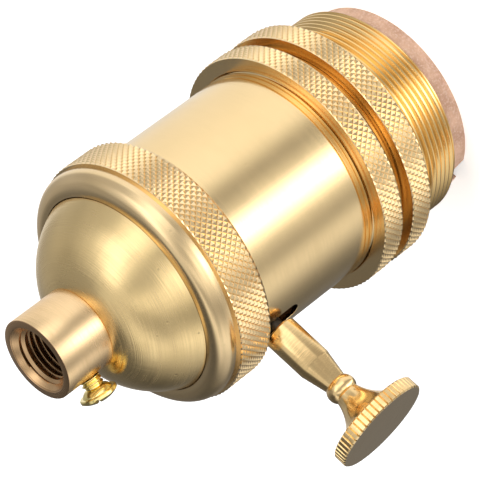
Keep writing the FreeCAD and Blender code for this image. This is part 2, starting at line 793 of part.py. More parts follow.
def make_line_leaf_spring():
    """Leaf from under the line terminal down through the roof beside the rotor."""
    body = new_body("line_leaf_spring")
    end = terminal_reach + size("terminal_width") / 2
    tip = -axis_depth - size("leaf_below_axis")
    slab(body, "Pad", "YZ_Plane", [
        (leaf_inside, -foot_top), (leaf_inside, tip), (leaf_outside, tip), (leaf_outside, -block_top),
        (end, -block_top), (end, -foot_top),
    ], leaf_left, leaf_right)
    hole = size("terminal_screw_diameter") + 2 * clearance
    rod(body, "Pocket", "XY_Plane", size("leaf_place"), terminal_reach, hole,
        -block_top - 1, 1 - block_top)


def make_neutral_strap():
    """Strip from under the neutral terminal down to the base of the screw shell."""
    body = new_body("neutral_strap")
    end = terminal_reach + size("terminal_width") / 2
    near = strap_reach
    far = near + size("leaf_thickness")
    slab(body, "Pad", "YZ_Plane", [
        (-near, -foot_top), (-near, -insulator_end), (-far, -insulator_end), (-far, -block_top),
        (-end, -block_top), (-end, -foot_top),
    ], -leaf_right, -leaf_left)
    hole = size("terminal_screw_diameter") + 2 * clearance
    rod(body, "Pocket", "XY_Plane", -size("leaf_place"), -terminal_reach, hole,
        -block_top - 1, 1 - block_top)


def make_terminal(label, side):
    """Plate with an upturned outer edge that keeps the wire under the screw's head."""
    body = new_body(label)
    reach = terminal_reach
    half = size("terminal_width") / 2
    thickness = size("terminal_thickness")
    near, far = side * (reach - half), side * (reach + half)
    lug = side * (reach + half - thickness)
    along = side * size("leaf_place")
    half_length = size("terminal_length") / 2
    slab(body, "Pad", "YZ_Plane", [
        (near, -foot_top), (far, -foot_top), (far, size("terminal_lug") - terminal_top),
        (lug, size("terminal_lug") - terminal_top), (lug, -terminal_top), (near, -terminal_top),
    ], along - half_length, along + half_length)
    rod(body, "Pocket", "XY_Plane", along, side * reach, size("terminal_screw_diameter") + 2 * clearance,
        -foot_top - 1, 1 - terminal_top)


def slotted_screw(body, x, y, seat, shank_diameter, shank_length, head_diameter, head_height):
    """Cheese-head screw standing in its seat, with a driver slot along X."""
    rod(body, "Pad", "XY_Plane", x, y, shank_diameter, -seat - shank_length, head_height / 2 - seat)
    rod(body, "Pad", "XY_Plane", x, y, head_diameter, -seat, head_height - seat)
    half = size("driver_slot_width") / 2
    reach = head_diameter / 2 + 1
    floor = head_height - size("driver_slot_depth") - seat
    slab(body, "Pocket", "XY_Plane", rectangle(x - reach, x + reach, y - half, y + half), floor,
         head_height + 1 - seat)


def make_terminal_screw(label, side):
    body = new_body(label)
    grip = block_top - terminal_top
    slotted_screw(body, side * size("leaf_place"), side * terminal_reach, terminal_top,
                  size("terminal_screw_diameter"), size("terminal_screw_length") + grip,
                  size("terminal_head_diameter"), size("terminal_head_height"))


def make_core_screws():
    """Two long screws from the top of the block into the lower disc."""
    body = new_body("core_screws")
    length = block_end - block_top + size("core_screw_bite")
    for side in (1, -1):
        slotted_screw(body, side * core_screw_along, side * core_screw_across, block_top,
                      size("core_screw_diameter"), length, size("core_screw_head_diameter"),
                      size("core_screw_head_height"))


def make_detent_spring():
    """Strip under the chamber's roof, bowed down over the rotor's square cam."""
    body = new_body("detent_spring")
    thickness = size("leaf_thickness")
    end = chamber_side - clearance * 2
    cam_corner = root(size("cam_side") * size("cam_side") / 2)
    low = axis_depth - cam_corner - size("detent_gap")
    bow = end / 4
    bend = end * 0.6
    half = size("leaf_width") / 2
    slab(body, "Pad", "YZ_Plane", [
        (-end, -chamber_top), (-bend, -chamber_top), (-bow, thickness - low), (bow, thickness - low),
        (bend, -chamber_top), (end, -chamber_top), (end, -chamber_top - thickness),
        (bend, -chamber_top - thickness), (bow, -low), (-bow, -low), (-bend, -chamber_top - thickness),
        (-end, -chamber_top - thickness),
    ], size("detent_place") - half, size("detent_place") + half)


def make_spindle_bush():
    """Brass bearing pressed into the block's wall from inside the chamber."""
    body = new_body("spindle_bush", depth=axis_depth)
    bore = size("spindle_diameter") / 2 + clearance
    outside = size("bush_diameter") / 2
    flange = size("bush_flange_diameter") / 2
    flange_start = chamber_end - size("bush_flange")
    end = core_radius + size("bush_stand")
    revolve(body, [(flange_start, bore), (flange_start, flange), (chamber_end, flange),
                   (chamber_end, outside), (end, outside), (end, bore)], axis="H_Axis")


make_neck_bush()
make_cap_dome()
make_cap_liner()
make_ring_nut()
make_barrel()
make_insulating_liner()
make_shade_ring("shade_ring_upper", ring_upper_top)
make_shade_ring("shade_ring_lower", ring_lower_top)
make_set_screw()
make_switch_knob()
make_switch_spindle()
make_switch_rotor()
make_rotor_contact()
make_switch_block()
make_lamp_insulator()
make_screw_shell()
rivet_reach = size("shell_rivet_reach")
make_rivets("shell_rivets", (rivet_reach, -rivet_reach), block_end + size("rivet_well"),
            insulator_end + size("shell_sheet"))
make_rivets("contact_rivet", (size("leaf_place"),), block_end - size("leaf_thickness"),
            insulator_end + size("leaf_thickness"))
make_centre_contact()
make_lamp_lead_spring()
make_line_leaf_spring()
make_neutral_strap()
make_terminal("line_terminal", 1)
make_terminal("neutral_terminal", -1)
make_terminal_screw("line_terminal_screw", 1)
make_terminal_screw("neutral_terminal_screw", -1)
make_core_screws()
make_detent_spring()
make_spindle_bush()

doc.recompute()
for item in doc.Objects:
    if "Invalid" in item.State or "Error" in item.State:
        raise ValueError("%s failed: %s" % (item.Label, item.State))
for body in BODIES:
    if body.Shape.isNull() or not body.Shape.isValid() or not body.Shape.Solids:
        raise ValueError("%s has no valid solid" % body.Label)

os.makedirs("parts", exist_ok=True)
for body in BODIES:
    body.Shape.exportStep(os.path.join("parts", body.Label + ".step"))
print("%d pieces written" % len(BODIES))
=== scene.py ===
import math
import bpy
import bmesh
from mathutils import Matrix, Vector


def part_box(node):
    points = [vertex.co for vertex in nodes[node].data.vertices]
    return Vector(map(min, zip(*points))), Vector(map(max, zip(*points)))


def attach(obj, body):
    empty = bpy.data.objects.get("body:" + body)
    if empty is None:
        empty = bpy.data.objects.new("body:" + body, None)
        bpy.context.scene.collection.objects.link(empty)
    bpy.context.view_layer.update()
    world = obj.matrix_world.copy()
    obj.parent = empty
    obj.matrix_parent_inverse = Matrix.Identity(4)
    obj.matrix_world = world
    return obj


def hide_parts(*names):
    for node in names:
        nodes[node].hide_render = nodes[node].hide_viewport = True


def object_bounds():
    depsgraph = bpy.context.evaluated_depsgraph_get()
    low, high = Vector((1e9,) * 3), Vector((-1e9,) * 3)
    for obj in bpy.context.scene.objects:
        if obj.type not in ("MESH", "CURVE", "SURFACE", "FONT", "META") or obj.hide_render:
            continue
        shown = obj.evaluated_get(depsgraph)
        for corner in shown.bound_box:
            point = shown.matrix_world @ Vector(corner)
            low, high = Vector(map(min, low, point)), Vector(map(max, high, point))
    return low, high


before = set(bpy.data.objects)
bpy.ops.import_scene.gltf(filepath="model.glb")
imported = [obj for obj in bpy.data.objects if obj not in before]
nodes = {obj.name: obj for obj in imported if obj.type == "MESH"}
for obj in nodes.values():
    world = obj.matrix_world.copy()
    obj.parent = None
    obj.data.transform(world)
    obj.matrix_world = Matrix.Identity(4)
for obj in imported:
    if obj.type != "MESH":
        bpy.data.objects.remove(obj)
cadLow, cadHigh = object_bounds()
mm = 0.001
print("frame loaded:", len(nodes), "nodes")


def addCamera(look):
    camera = bpy.data.cameras.new("viewCamera")
    camera.lens = look["lens"]
    camera.sensor_width = look["sensor"]
    camera.clip_start = 0.05
    camera.clip_end = 20
    holder = bpy.data.objects.new("viewCamera", camera)
    bpy.context.collection.objects.link(holder)
    right, up = Vector(look["right"]), Vector(look["up"])
    turn = Matrix((right, up, right.cross(up))).transposed()
    holder.matrix_world = Matrix.Translation(Vector(look["place"]) * mm) @ turn.to_4x4()
    bpy.context.scene.camera = holder


def addLamp(name, place, target, width, watts, tint):
    # a soft box that only lights: the reflections come from the world's own boxes
    data = bpy.data.lights.new(name, "AREA")
    data.shape = "DISK"
    data.size = width
    data.energy = watts
    data.color = tint
    lamp = bpy.data.objects.new(name, data)
    bpy.context.collection.objects.link(lamp)
    lamp.location = place
    lamp.rotation_euler = (Vector(target) - Vector(place)).to_track_quat("-Z", "Y").to_euler()
    lamp.visible_glossy = False
    lamp.visible_camera = False


def lathe(bm, points, steps, closed=True):
    # spins a chain of (radius, height) points, in millimetres, once round the Z axis
    ring = [bm.verts.new((r * mm, 0, z * mm)) for r, z in points]
    pairs = list(zip(ring, ring[1:])) + ([(ring[-1], ring[0])] if closed else [])
    edges = [bm.edges.new(pair) for pair in pairs]
    bmesh.ops.spin(bm, geom=ring + edges, cent=(0, 0, 0), axis=(0, 0, 1),
                   angle=math.tau, steps=steps, use_merge=True)


def helixSkin(bm, turn, pitch, low, high, steps):
    # a right-hand thread: one pitch of (radius, rise) points is chained, spun upwards and cut flat
    skin = bmesh.new()
    first = low - 2 * pitch
    chain = [skin.verts.new((r * mm, 0, (first + (count + rise) * pitch) * mm))
             for count in range(int((high - low) / pitch) + 4) for r, rise in turn]
    edges = [skin.edges.new(pair) for pair in zip(chain, chain[1:])]
    bmesh.ops.spin(skin, geom=chain + edges, cent=(0, 0, 0), axis=(0, 0, 1),
                   dvec=(0, 0, pitch * mm / steps), angle=math.tau, steps=steps)
    bmesh.ops.remove_doubles(skin, verts=skin.verts, dist=0.002 * mm)
    for height, side in ((high, 1), (low, -1)):
        bmesh.ops.bisect_plane(skin, geom=skin.verts[:] + skin.edges[:] + skin.faces[:], dist=1e-7,
                               plane_co=(0, 0, height * mm), plane_no=(0, 0, side), clear_outer=True)
    mesh = bpy.data.meshes.new("thread")
    skin.to_mesh(mesh)
    skin.free()
    bm.from_mesh(mesh)
    bpy.data.meshes.remove(mesh)


def threadTurn(first, second, rises):
    # one pitch of a thread: a flat at the first radius, a flank, and a flat at the second
    flatEnd, flankEnd, lastFlat = rises
    return [(first, 0.0), (first, flatEnd), (second, flankEnd), (second, lastFlat)]


def dropCap(bm, height, low=0.0, high=1.0):
    # takes away the flat faces at one height, so that the next part can grow on from their rim
    flat = [f for f in bm.faces if abs(f.calc_center_median().z - height * mm) < 1e-7
            and low * mm < f.calc_center_median().xy.length < high]
    bmesh.ops.delete(bm, geom=flat, context="FACES")


def openLoops(bm, height):
    return [edge for edge in bm.edges if edge.is_boundary
            and all(abs(v.co.z - height * mm) < 2e-6 for v in edge.verts)]


def closeRings(bm, *heights):
    # fills the flat ring between the two open loops at each height
    for height in heights:
        bmesh.ops.triangle_fill(bm, use_beauty=True, edges=openLoops(bm, height), normal=(0, 0, 1))


def finishPiece(name, bm, body, finish, replaced, sharp):
    bmesh.ops.remove_doubles(bm, verts=bm.verts, dist=1e-7)
    bmesh.ops.recalc_face_normals(bm, faces=bm.faces)
    mesh = bpy.data.meshes.new(name)
    bm.to_mesh(mesh)
    bm.free()
    mesh.shade_smooth()
    mesh.set_sharp_from_angle(angle=math.radians(sharp))
    mesh.materials.append(finish)
    piece = bpy.data.objects.new(name, mesh)
    bpy.context.collection.objects.link(piece)
    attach(piece, body)
    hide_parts(*replaced)
    return piece


def cutAway(bm, cutter):
    # takes the cutter's solid out of the piece and gives the result back in the same bmesh
    meshes = [bpy.data.meshes.new("cutting") for solid in (bm, cutter)]
    blocks = []
    for solid, mesh in zip((bm, cutter), meshes):
        bmesh.ops.recalc_face_normals(solid, faces=solid.faces)
        solid.to_mesh(mesh)
        block = bpy.data.objects.new("cutting", mesh)
        bpy.context.collection.objects.link(block)
        blocks.append(block)
    cut = blocks[0].modifiers.new("cut", "BOOLEAN")
    cut.operation = "DIFFERENCE"
    cut.solver = "EXACT"
    cut.object = blocks[1]
    bpy.context.view_layer.update()
    result = bpy.data.meshes.new_from_object(blocks[0].evaluated_get(bpy.context.evaluated_depsgraph_get()))
    bm.clear()
    bm.from_mesh(result)
    cutter.free()
    for block in blocks:
        bpy.data.objects.remove(block)
    for mesh in meshes + [result]:
        bpy.data.meshes.remove(mesh)


def newGroup(name, inputs, outputs):
    group = bpy.data.node_groups.new(name, "ShaderNodeTree")
    for label, kind, value in inputs:
        socket = group.interface.new_socket(label, in_out="INPUT", socket_type=kind)
        if value is not None:
            socket.default_value = value
    for label, kind in outputs:
        group.interface.new_socket(label, in_out="OUTPUT", socket_type=kind)
    return group, group.nodes.new("NodeGroupInput"), group.nodes.new("NodeGroupOutput")


def mathNode(tree, rule, first, second=0.0, third=0.0):
    node = tree.nodes.new("ShaderNodeMath")
    node.operation = rule
    for socket, value in zip(node.inputs, (first, second, third)):
        if isinstance(value, (int, float)):
            socket.default_value = value
        else:
            tree.links.new(value, socket)
    return node.outputs[0]


def noiseNode(tree, vector, scale, detail=3.0, rough=0.55):
    node = tree.nodes.new("ShaderNodeTexNoise")
    tree.links.new(vector, node.inputs["Vector"])
    if isinstance(scale, (int, float)):
        node.inputs["Scale"].default_value = scale
    else:
        tree.links.new(scale, node.inputs["Scale"])
    node.inputs["Detail"].default_value = detail
    node.inputs["Roughness"].default_value = rough
    return node.outputs["Fac"]


def mixColour(tree, factor, first, second):
    node = tree.nodes.new("ShaderNodeMix")
    node.data_type = "RGBA"
    sockets = [node.inputs[0], node.inputs[6], node.inputs[7]]
    for socket, value in zip(sockets, (factor, first, second)):
        if isinstance(value, (int, float)):
            socket.default_value = value
        elif isinstance(value, (tuple, list)):
            socket.default_value = (*value, 1.0)
        else:
            tree.links.new(value, socket)
    return node.outputs[2]


def rangeNode(tree, value, low, high, toLow=0.0, toHigh=1.0):
    node = tree.nodes.new("ShaderNodeMapRange")
    node.interpolation_type = "SMOOTHSTEP"
    tree.links.new(value, node.inputs["Value"])
    for label, number in (("From Min", low), ("From Max", high), ("To Min", toLow), ("To Max", toHigh)):
        node.inputs[label].default_value = number
    return node.outputs["Result"]


def makeTurnedLines():
    # fine lines round the Z axis of the vector, broken up a little along their length
    group, inward, outward = newGroup("turnedLines", [
        ("Vector", "NodeSocketVector", None), ("Fine", "NodeSocketFloat", 4200.0),
        ("Break", "NodeSocketFloat", 40.0)], [("Height", "NodeSocketFloat")])
    apart = group.nodes.new("ShaderNodeSeparateXYZ")
    group.links.new(inward.outputs["Vector"], apart.inputs[0])
    square = mathNode(group, "MULTIPLY", apart.outputs[0], apart.outputs[0])
    radius = mathNode(group, "SQRT", mathNode(group, "MULTIPLY_ADD", apart.outputs[1], apart.outputs[1], square))
    angle = mathNode(group, "ARCTAN2", apart.outputs[1], apart.outputs[0])
    joined = group.nodes.new("ShaderNodeCombineXYZ")
    group.links.new(mathNode(group, "MULTIPLY", radius, inward.outputs["Fine"]), joined.inputs[0])
    group.links.new(mathNode(group, "MULTIPLY", apart.outputs[2], inward.outputs["Fine"]), joined.inputs[1])
    # cosine and sine of the angle keep the lines whole where the angle starts again
    bend = mathNode(group, "MULTIPLY", mathNode(group, "COSINE", angle), 1.4)
    group.links.new(bend, joined.inputs[2])
    lines = noiseNode(group, joined.outputs[0], 1.0, 2.0, 0.6)
    patches = noiseNode(group, inward.outputs["Vector"], 260.0, 2.0)
    broken = mathNode(group, "MULTIPLY", lines, mathNode(group, "MULTIPLY_ADD", patches, 0.8, 0.5))
    group.links.new(broken, outward.inputs["Height"])
    return group


def makePits():
    # scattered small dark pits and specks: one where a cell of the noise peaks
    group, inward, outward = newGroup("pits", [
        ("Vector", "NodeSocketVector", None), ("Scale", "NodeSocketFloat", 300.0)],
        [("Mask", "NodeSocketFloat")])
    cells = group.nodes.new("ShaderNodeTexVoronoi")
    cells.feature = "F1"
    group.links.new(inward.outputs["Vector"], cells.inputs["Vector"])
    group.links.new(inward.outputs["Scale"], cells.inputs["Scale"])
    spot = rangeNode(group, cells.outputs["Distance"], 0.05, 0.16, 1.0, 0.0)
    apart = group.nodes.new("ShaderNodeSeparateXYZ")
    group.links.new(cells.outputs["Color"], apart.inputs[0])
    chosen = mathNode(group, "GREATER_THAN", apart.outputs[0], 0.86)
    group.links.new(mathNode(group, "MULTIPLY", spot, chosen), outward.inputs["Mask"])
    return group


def makeTarnish():
    # soft cloudy change of tone
    group, inward, outward = newGroup("tarnish", [
        ("Vector", "NodeSocketVector", None), ("Scale", "NodeSocketFloat", 60.0)],
        [("Mask", "NodeSocketFloat")])
    cloud = noiseNode(group, inward.outputs["Vector"], inward.outputs["Scale"], 5.0, 0.6)
    group.links.new(rangeNode(group, cloud, 0.35, 0.68), outward.inputs["Mask"])
    return group


turnedLines, pits, tarnish = makeTurnedLines(), makePits(), makeTarnish()


def placeGroup(tree, group, vector, **values):
    node = tree.nodes.new("ShaderNodeGroup")
    node.node_tree = group
    tree.links.new(vector, node.inputs["Vector"])
    for label, value in values.items():
        node.inputs[label].default_value = value
    return node.outputs[0]


def newMaterial(name, colour, rough, metallic=0.0, spread=0.0):
    material = bpy.data.materials.new(name)
    material.use_nodes = True
    material.diffuse_color = (*colour, 1.0)
    tree = material.node_tree
    shader = tree.nodes["Principled BSDF"]
    shader.inputs["Base Color"].default_value = (*colour, 1.0)
    shader.inputs["Roughness"].default_value = rough
    shader.inputs["Metallic"].default_value = metallic
    shader.inputs["Anisotropic"].default_value = spread
    return material, tree, shader


def addBump(tree, shader, height, distance):
    bump = tree.nodes.new("ShaderNodeBump")
    bump.inputs["Strength"].default_value = 1.0
    bump.inputs["Distance"].default_value = distance
    tree.links.new(height, bump.inputs["Height"])
    tree.links.new(bump.outputs[0], shader.inputs["Normal"])


def makeBrass(name, look):
    # turned brass: lines round the axis, cloudy tone, pits, a painted tone on one end face, and turned bands of painted
    # shade and painted reflection
    material, tree, shader = newMaterial(name, look["colour"], look["rough"], 1.0, look["spread"])
    coords = tree.nodes.new("ShaderNodeTexCoord")
    mapping = tree.nodes.new("ShaderNodeMapping")
    tree.links.new(coords.outputs["Object"], mapping.inputs["Vector"])
    mapping.inputs["Location"].default_value = look.get("centre", (0, 0, 0))
    mapping.inputs["Rotation"].default_value = look.get("turn", (0, 0, 0))
    vector = mapping.outputs[0]
    lines = placeGroup(tree, turnedLines, vector, Fine=look["fine"])
    cloud = placeGroup(tree, tarnish, vector, Scale=look["clouds"])
    holes = placeGroup(tree, pits, vector, Scale=look["pits"])
    colour = mixColour(tree, cloud, look["colour"], look["tone"])
    streak = rangeNode(tree, lines, 0.25, 0.75)
    colour = mixColour(tree, mathNode(tree, "MULTIPLY", streak, look["streak"]), colour, look["streakTone"])
    colour = mixColour(tree, mathNode(tree, "MULTIPLY", holes, look["pitting"]), colour, look["pitTone"])
    # one end face gets a painted tone: painted shade where it is darker, painted light where it is paler
    if "paintedFace" in look:
        axis, place, side = look["paintedFace"]
        apart = tree.nodes.new("ShaderNodeSeparateXYZ")
        tree.links.new(coords.outputs["Object"], apart.inputs[0])
        paintedFaceMask = mathNode(tree, "GREATER_THAN" if side > 0 else "LESS_THAN", apart.outputs[axis], place)
        colour = mixColour(tree, mathNode(tree, "MULTIPLY", paintedFaceMask, look["paintedFaceDepth"]), colour, look["paintedFaceTone"])
    for inner, low, high, tone, depth in look.get("paintedZones", ()):
        # a turned zone of painted shade and painted reflection: everything inside a radius and between two heights
        apart = tree.nodes.new("ShaderNodeSeparateXYZ")
        tree.links.new(coords.outputs["Object"], apart.inputs[0])
        squares = [mathNode(tree, "MULTIPLY", apart.outputs[axis], apart.outputs[axis]) for axis in (0, 1)]
        within = mathNode(tree, "LESS_THAN", mathNode(tree, "ADD", *squares), (inner * mm) ** 2)
        above = mathNode(tree, "GREATER_THAN", apart.outputs[2], low * mm)
        below = mathNode(tree, "LESS_THAN", apart.outputs[2], high * mm)
        zone = mathNode(tree, "MULTIPLY", within, mathNode(tree, "MULTIPLY", above, below))
        colour = mixColour(tree, mathNode(tree, "MULTIPLY", zone, depth), colour, tone)
    tree.links.new(colour, shader.inputs["Base Color"])
    rough = mathNode(tree, "MULTIPLY_ADD", streak, look["roughRange"], look["rough"])
    tree.links.new(mathNode(tree, "MULTIPLY_ADD", cloud, look["cloudRough"], rough), shader.inputs["Roughness"])
    if look["spread"]:
        tangent = tree.nodes.new("ShaderNodeTangent")
        tangent.direction_type = "RADIAL"
        tangent.axis = look.get("axis", "Z")
        tree.links.new(tangent.outputs[0], shader.inputs["Tangent"])
    height = mathNode(tree, "SUBTRACT", lines, holes)
    addBump(tree, shader, height, look["bump"])
    return material


brassBase = {
    "colour": (0.90, 0.66, 0.34), "tone": (0.86, 0.64, 0.33), "rough": 0.2, "spread": 0.6,
    "fine": 4200.0, "clouds": 55.0, "pits": 520.0, "streak": 0.12, "streakTone": (0.70, 0.48, 0.22),
    "pitting": 0.3, "pitTone": (0.16, 0.10, 0.05), "roughRange": 0.06, "cloudRough": 0.04, "bump": 0.000004,
}
# each turned zone gives radius, low and high in millimetres, tone and depth: painted shade inside the barrel, its slot,
# the ring gap and the neck, and a painted reflection on the thread; the end face gives axis, place in metres and side:
# painted shade on the neck's mouth, painted light on the knob's face
brassLooks = {
    "domeBrass": {"colour": (0.93, 0.70, 0.35), "tone": (0.88, 0.65, 0.31), "rough": 0.17, "spread": 0.6,
                  "streak": 0.35, "streakTone": (0.74, 0.54, 0.27), "pitting": 0.3, "bump": 0.00002,
                  "roughRange": 0.1, "fine": 5200.0},
    "barrelBrass": {"colour": (0.95, 0.71, 0.38), "tone": (0.93, 0.69, 0.36), "rough": 0.13, "spread": 0.6,
                    "streak": 0.06, "pitting": 0.0,
                    # painted shade: near black inside the barrel and on the slot's walls, and golden brown in the gap
                    # between the shade rings; the warmer tone on the lower thread is a painted reflection between its
                    # flanks
                    "paintedZones": ((18.92, -45.0, 0.0, (0.05, 0.03, 0.015), 1.0),
                              (19.1, -80.0, -66.5, (0.90, 0.60, 0.24), 0.8),
                              (19.1, -63.5, -59.5, (0.74, 0.47, 0.18), 0.8))},
    "nutBrass": {"colour": (0.92, 0.69, 0.39), "tone": (0.88, 0.65, 0.35), "rough": 0.18, "spread": 0.5,
                 "pitting": 0.1},
    "ringBrass": {"colour": (0.94, 0.70, 0.38), "tone": (0.90, 0.65, 0.34), "rough": 0.18, "spread": 0.4,
                  "pitting": 0.1},
    "neckBrass": {"colour": (0.95, 0.68, 0.38), "tone": (0.89, 0.62, 0.34), "rough": 0.2, "spread": 0.6,
                  # painted shade: the mouth face and the bore are darker, and the bore deeper in darker still
                  "streak": 0.25, "bump": 0.000008, "paintedFace": (2, -0.0001, 1), "pitting": 0.1,
                  "paintedFaceTone": (0.50, 0.31, 0.17), "paintedFaceDepth": 0.85,
                  "paintedZones": ((5.9, -12.0, -0.05, (0.50, 0.29, 0.14), 0.6), (5.1, -12.0, -2.5, (0.20, 0.11, 0.05), 0.6))},
    "knobBrass": {"colour": (0.94, 0.69, 0.34), "tone": (0.88, 0.61, 0.29), "rough": 0.13, "spread": 0.2,
                  "axis": "X", "turn": (0, math.radians(90), 0), "centre": (0.03335, 0, 0), "streak": 0.45,
                  # painted light: the knob's outer face is painted paler
                  "bump": 0.000012, "paintedFace": (0, 0.04255, 1), "paintedFaceTone": (0.98, 0.77, 0.50),
                  "paintedFaceDepth": 0.6},
    "screwPlating": {"colour": (0.96, 0.80, 0.36), "tone": (0.94, 0.75, 0.28), "rough": 0.1, "spread": 0.0,
                     "streak": 0.0, "pitting": 0.0},
    "contactBrass": {"colour": (0.88, 0.64, 0.32), "tone": (0.78, 0.55, 0.27), "rough": 0.3, "spread": 0.3},
    "shellBrass": {"colour": (0.90, 0.68, 0.38), "tone": (0.80, 0.60, 0.33), "rough": 0.24, "spread": 0.3},
    "screwSteel": {"colour": (0.58, 0.57, 0.55), "tone": (0.48, 0.47, 0.45), "rough": 0.3, "spread": 0.3,
                   "streakTone": (0.35, 0.34, 0.32)},
    # painted shade: the spindle is near black, so that it reads as shadow where it shows in the slot
    "spindlePaintedShade": {"colour": (0.10, 0.085, 0.07), "tone": (0.06, 0.05, 0.045), "rough": 0.35, "spread": 0.0,
                     "streakTone": (0.04, 0.035, 0.03)},
}
for label, look in brassLooks.items():
    look.update({key: value for key, value in brassBase.items() if key not in look})
metals = {label: makeBrass(label, look) for label, look in brassLooks.items()}


fibreLook = {"colour": (0.74, 0.48, 0.34), "dark": (0.54, 0.32, 0.22), "pale": (0.88, 0.70, 0.58), "rough": 0.85,
             "clouds": 220.0, "hairs": 2600.0, "bump": 0.00006}


def makeFibre(look):
    # pressed fibre: short hairs and mottling, a paler fuzz on top
    material, tree, shader = newMaterial("pressedFibre", look["colour"], look["rough"])
    vector = tree.nodes.new("ShaderNodeTexCoord").outputs["Object"]
    cloud = placeGroup(tree, tarnish, vector, Scale=look["clouds"])
    hairs = noiseNode(tree, vector, look["hairs"], 4.0, 0.7)
    colour = mixColour(tree, cloud, look["dark"], look["colour"])
    colour = mixColour(tree, rangeNode(tree, hairs, 0.45, 0.75, 0.0, 0.7), colour, look["pale"])
    tree.links.new(colour, shader.inputs["Base Color"])
    addBump(tree, shader, hairs, look["bump"])
    return material


ceramicLook = {"colour": (0.84, 0.81, 0.74), "pale": (0.86, 0.83, 0.76), "dark": (0.78, 0.74, 0.66), "rough": 0.6,
               "speck": (0.35, 0.30, 0.24), "specks": 900.0, "clouds": 140.0, "grain": 1800.0, "bump": 0.00002}


def makeCeramic(look):
    # unglazed steatite with a faint grain
    material, tree, shader = newMaterial("steatite", look["colour"], look["rough"])
    vector = tree.nodes.new("ShaderNodeTexCoord").outputs["Object"]
    cloud = placeGroup(tree, tarnish, vector, Scale=look["clouds"])
    specks = placeGroup(tree, pits, vector, Scale=look["specks"])
    colour = mixColour(tree, cloud, look["pale"], look["dark"])
    colour = mixColour(tree, mathNode(tree, "MULTIPLY", specks, 0.5), colour, look["speck"])
    tree.links.new(colour, shader.inputs["Base Color"])
    addBump(tree, shader, noiseNode(tree, vector, look["grain"], 3.0), look["bump"])
    return material


mouldingLook = {"colour": (0.03, 0.025, 0.022), "pale": (0.05, 0.04, 0.034), "rough": 0.45, "clouds": 180.0,
                "grain": 1500.0, "bump": 0.00001}


def makeMoulding(look):
    # dark moulded resin
    material, tree, shader = newMaterial("darkMoulding", look["colour"], look["rough"])
    vector = tree.nodes.new("ShaderNodeTexCoord").outputs["Object"]
    cloud = placeGroup(tree, tarnish, vector, Scale=look["clouds"])
    tree.links.new(mixColour(tree, cloud, look["colour"], look["pale"]), shader.inputs["Base Color"])
    addBump(tree, shader, noiseNode(tree, vector, look["grain"], 2.0), look["bump"])
    return material


fibre, steatite, darkMoulding = makeFibre(fibreLook), makeCeramic(ceramicLook), makeMoulding(mouldingLook)

# every CAD node that stays gets its finish
nodeFinishes = {
    "cap_dome": metals["domeBrass"],
    "cap_liner": fibre, "insulating_liner": fibre,
    "switch_block": steatite, "lamp_insulator": steatite, "switch_rotor": darkMoulding,
    "switch_spindle": metals["spindlePaintedShade"], "core_screws": metals["screwSteel"],
    "line_terminal_screw": metals["screwSteel"], "neutral_terminal_screw": metals["screwSteel"],
    "detent_spring": metals["screwSteel"],
}
for label, node in nodes.items():
    node.data.materials.clear()
    node.data.materials.append(nodeFinishes.get(label, metals["contactBrass"]))
print("finishes made")


def addKnurl(bm, radius, top, band, rows, count, depth, peak):
    # the band was spun with two steps for each diamond and two rows for each diamond's height:
    # every other vertex sinks, and each quad is split along the groove
    rise = band / (2 * rows)
    rim, sunk = [], set()
    for vert in bm.verts:
        across = (top - vert.co.z / mm) / rise
        if abs(vert.co.xy.length / mm - radius) < 0.01 and -0.01 < across < 2 * rows + 0.01:
            rim.append(vert)
            around = math.atan2(vert.co.y, vert.co.x) / math.tau * 2 * count
            if (round(across) + round(around)) % 2:
                sunk.add(vert)
    for vert in sunk:
        vert.co.x *= (radius - depth) / radius
        vert.co.y *= (radius - depth) / radius
    woven = set(rim)
    faces = [f for f in bm.faces if all(v in woven for v in f.verts)]
    bmesh.ops.triangulate(bm, faces=faces, quad_method="SHORT_EDGE")
    low, high = min(v.co.z for v in rim), max(v.co.z for v in rim)
    tips = [v for v in rim if v not in sunk and low + 1e-6 < v.co.z < high - 1e-6]
    bmesh.ops.bevel(bm, geom=tips, offset=peak * mm, offset_type="OFFSET", segments=1,
                    profile=0.5, affect="VERTICES", material=-1)


def bandPoints(radius, top, band, rows):
    return [(radius, top - band * step / (2 * rows)) for step in range(2 * rows + 1)]


# shade rings: rows and count of the diamonds, the rest in millimetres
ringSizes = {"rows": 3, "count": 108, "depth": 0.34, "peak": 0.09, "bevel": 0.22, "bore": 19.08, "boreBevel": 0.12}


def makeShadeRing(node, body, look):
    low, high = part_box(node)
    top, bottom, radius = high.z / mm, low.z / mm, high.x / mm
    bore, bevel, flat = look["bore"], look["bevel"], look["boreBevel"]
    bm = bmesh.new()
    lathe(bm, [(bore, bottom + flat), (bore, top - flat), (bore + flat, top), (radius - bevel, top)]
          + bandPoints(radius, top - bevel, top - bottom - 2 * bevel, look["rows"])
          + [(radius - bevel, bottom), (bore + flat, bottom)], 2 * look["count"])
    addKnurl(bm, radius, top - bevel, top - bottom - 2 * bevel, look["rows"], look["count"],
             look["depth"], look["peak"])
    name = "shadeRing" + ("Upper" if "upper" in node else "Lower")
    finishPiece(name, bm, body, metals["ringBrass"], [node], 24)


makeShadeRing("shade_ring_upper", "upper_ring", ringSizes)
makeShadeRing("shade_ring_lower", "lower_ring", ringSizes)
print("shade rings made")


# ring nut: a lip over the dome, a round shoulder, and the knurled band
nutSizes = {"rows": 5, "count": 108, "depth": 0.36, "peak": 0.1, "lip": 17.6, "lipThick": 0.3, "shoulder": 20.9,
            "curve": 2.7, "shoulderHeight": 3.35, "step": 0.3, "edge": 0.2, "bevel": 0.5, "bore": 19.05,
            "flange": 20.7}


